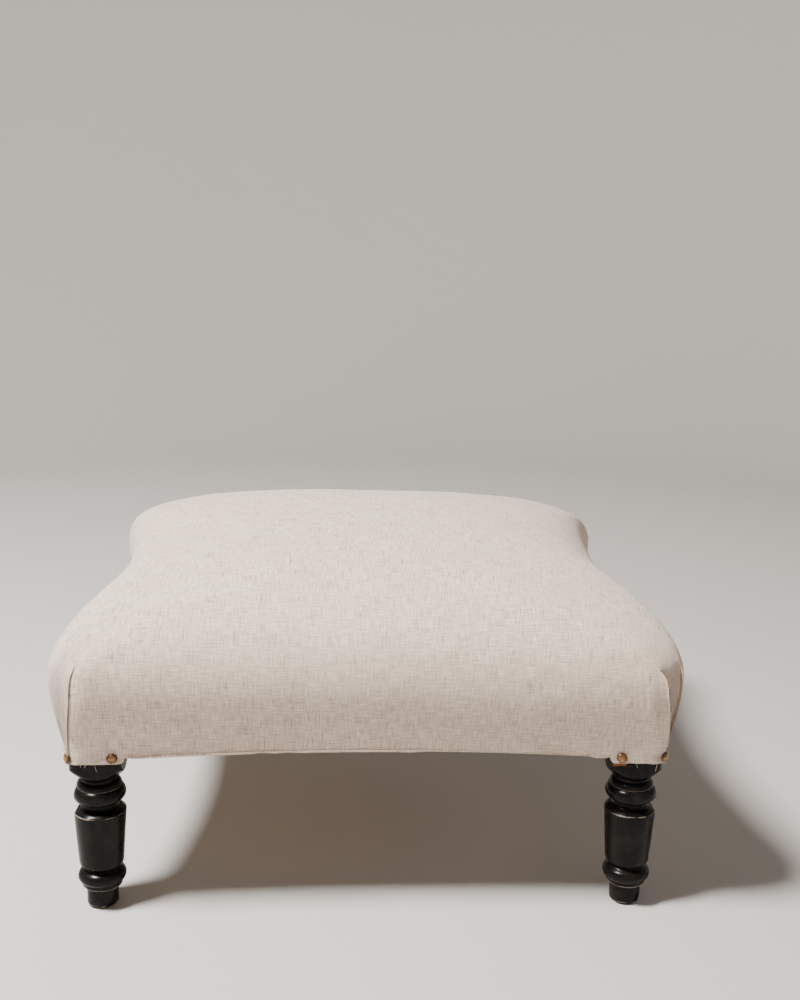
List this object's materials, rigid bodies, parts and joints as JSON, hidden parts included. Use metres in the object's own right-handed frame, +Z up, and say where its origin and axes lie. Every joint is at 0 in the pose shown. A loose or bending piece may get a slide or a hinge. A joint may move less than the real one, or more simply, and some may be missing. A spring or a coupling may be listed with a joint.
{
  "type": "upholstered footstool",
  "caption": "Low square footstool on turned black legs, with a sprung, domed seat under a linen cover fixed by brass dome nails.",
  "frame": {"origin": "on the floor, under the middle of the stool", "axes": "+X to the right of the front that the picture shows, +Y to the back, +Z up"},
  "size_m": [0.6224, 0.5742, 0.3519],
  "materials": {
    "ebonised_wood": "black stain under a worn, glossy French polish",
    "frame_beech": "planed, unfinished",
    "jute_webbing": "coarse woven jute",
    "spring_steel": "coppered wire, dulled",
    "hessian": "open plain weave",
    "horsehair": "curled hair",
    "linen": "natural slubby linen, plain weave",
    "brass": "aged, softly polished"
  },
  "bodies": {
    "root": {"leg_front_left": "ebonised_wood", "leg_front_right": "ebonised_wood", "leg_rear_left": "ebonised_wood", "leg_rear_right": "ebonised_wood", "rail_front": "frame_beech", "rail_rear": "frame_beech", "rail_left": "frame_beech", "rail_right": "frame_beech", "webbing_cross_1": "jute_webbing", "webbing_cross_2": "jute_webbing", "webbing_cross_3": "jute_webbing", "webbing_long_1": "jute_webbing", "webbing_long_2": "jute_webbing", "webbing_long_3": "jute_webbing", "seat_spring_1": "spring_steel", "seat_spring_2": "spring_steel", "seat_spring_3": "spring_steel", "seat_spring_4": "spring_steel", "seat_spring_5": "spring_steel", "spring_hessian": "hessian", "hair_stuffing": "horsehair", "linen_cover": "linen", "brass_nails": "brass"}
  },
  "joints": []
}
